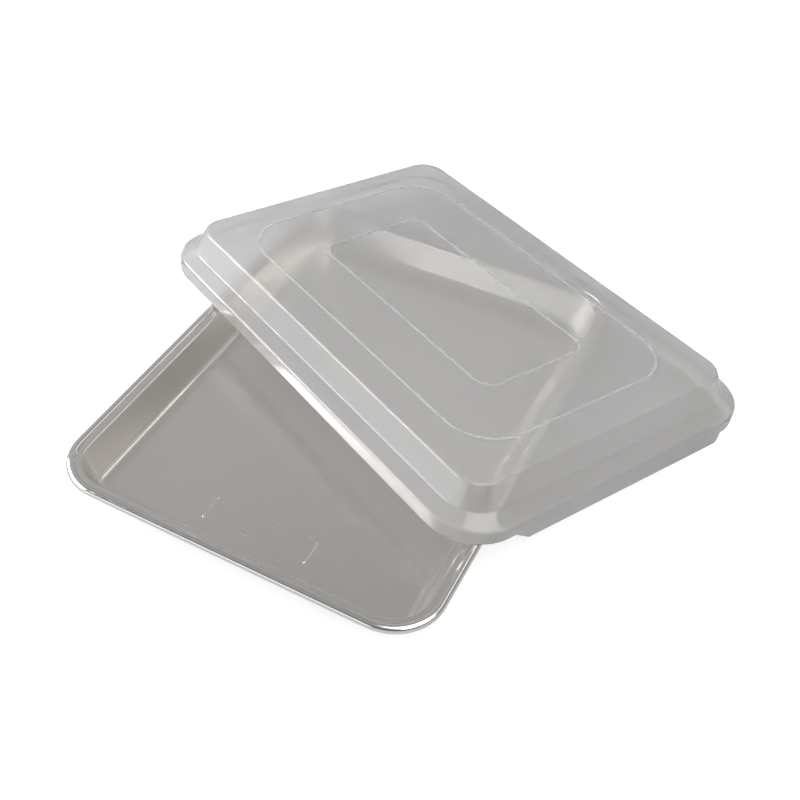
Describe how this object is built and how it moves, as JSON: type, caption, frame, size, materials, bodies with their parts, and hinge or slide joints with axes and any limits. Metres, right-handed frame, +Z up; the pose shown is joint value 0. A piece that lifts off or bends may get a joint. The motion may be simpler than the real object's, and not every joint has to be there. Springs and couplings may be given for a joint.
{
  "type": "cake pan with lid",
  "caption": "Shallow rectangular baking pan with a rolled, wired rim, and its stepped translucent lid with end tabs, laid askew over one end of the pan.",
  "frame": {"origin": "centre of the pan's flat underside", "axes": "+Z up, the pan's long side along Y, and -Y towards the short side with the pressed rectangle"},
  "size_m": [0.3826, 0.4153, 0.0541],
  "materials": {
    "sheet": "uncoated satin",
    "wire": "galvanised",
    "lid": "translucent, with a grained band on the top"
  },
  "bodies": {
    "root": {"pan": "sheet", "rim_wire": "wire", "lid": "lid"}
  },
  "joints": []
}
